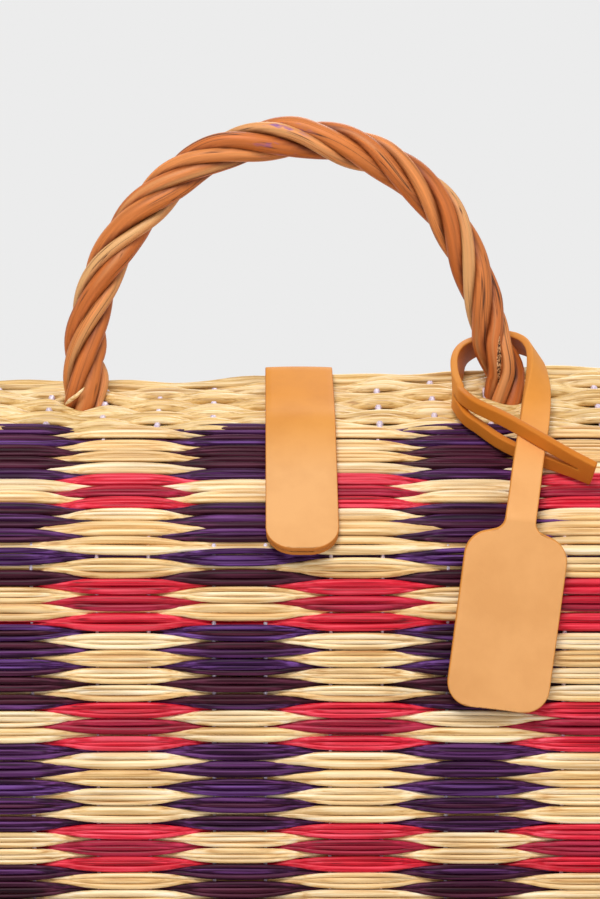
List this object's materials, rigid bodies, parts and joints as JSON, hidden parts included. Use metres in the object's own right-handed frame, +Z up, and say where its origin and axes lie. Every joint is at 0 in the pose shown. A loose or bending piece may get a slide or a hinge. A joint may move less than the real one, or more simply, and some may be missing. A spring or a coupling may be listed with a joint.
{
  "type": "market bag",
  "caption": "Box-shaped woven reed basket bag with a folding half lid, an arched twisted willow handle, a leather closing tab and a leather luggage tag.",
  "frame": {"origin": "middle of the base, on the surface that the bag stands on", "axes": "+Z up, -Y towards the front where the closing tab ends, +X to the right seen from the front, along the handle's span"},
  "size_m": [0.3794, 0.1936, 0.3549],
  "materials": {
    "reed": "dyed and natural rush reeds, satin",
    "willow": "buff willow rods, satin, with bark cracks",
    "leather": "natural tan leather, smooth, semi-matt",
    "cord": "pale lilac twisted cord",
    "metal": "nickel-plated, satin"
  },
  "bodies": {
    "body": {"main_mat": "reed", "side_panel_left": "reed", "side_panel_right": "reed", "edge_binding_left": "reed", "edge_binding_right": "reed", "rim_binding": "reed", "rim_rod": "willow", "handle_core": "willow", "handle_rod_1": "willow", "handle_rod_2": "willow", "handle_rod_3": "willow", "handle_rod_4": "willow", "handle_rod_5": "willow", "handle_whipping_left": "cord", "handle_whipping_right": "cord", "snap_base": "metal", "snap_washer": "metal"},
    "lid": {"lid_mat": "reed", "lid_rim_binding": "reed", "lid_edge_binding_left": "reed", "lid_edge_binding_right": "reed", "lid_rod": "willow", "tab_root": "leather", "tab_patch": "leather", "tab_rivet_left": "metal", "tab_rivet_right": "metal"},
    "tab": {"tab_leather": "leather", "tab_lining": "leather", "tab_magnet": "metal"},
    "tag": {"luggage_tag": "leather"}
  },
  "joints": [
    {"name": "lid_hinge", "type": "hinge", "parent": "body", "child": "lid", "pos_m": [0, 0.093, 0.156], "axis": [-1, 0, 0], "range_deg": [0, 110]},
    {"name": "tab_lift", "type": "hinge", "parent": "lid", "child": "tab", "pos_m": [0.0025, 0.02108, 0.23145], "axis": [-1, 0, 0], "range_deg": [0, 60]},
    {"name": "tag_lift", "type": "hinge", "parent": "body", "child": "tag", "pos_m": [0.093, -0.003, 0.254], "axis": [-1, 0, 0], "range_deg": [0, 30]}
  ]
}
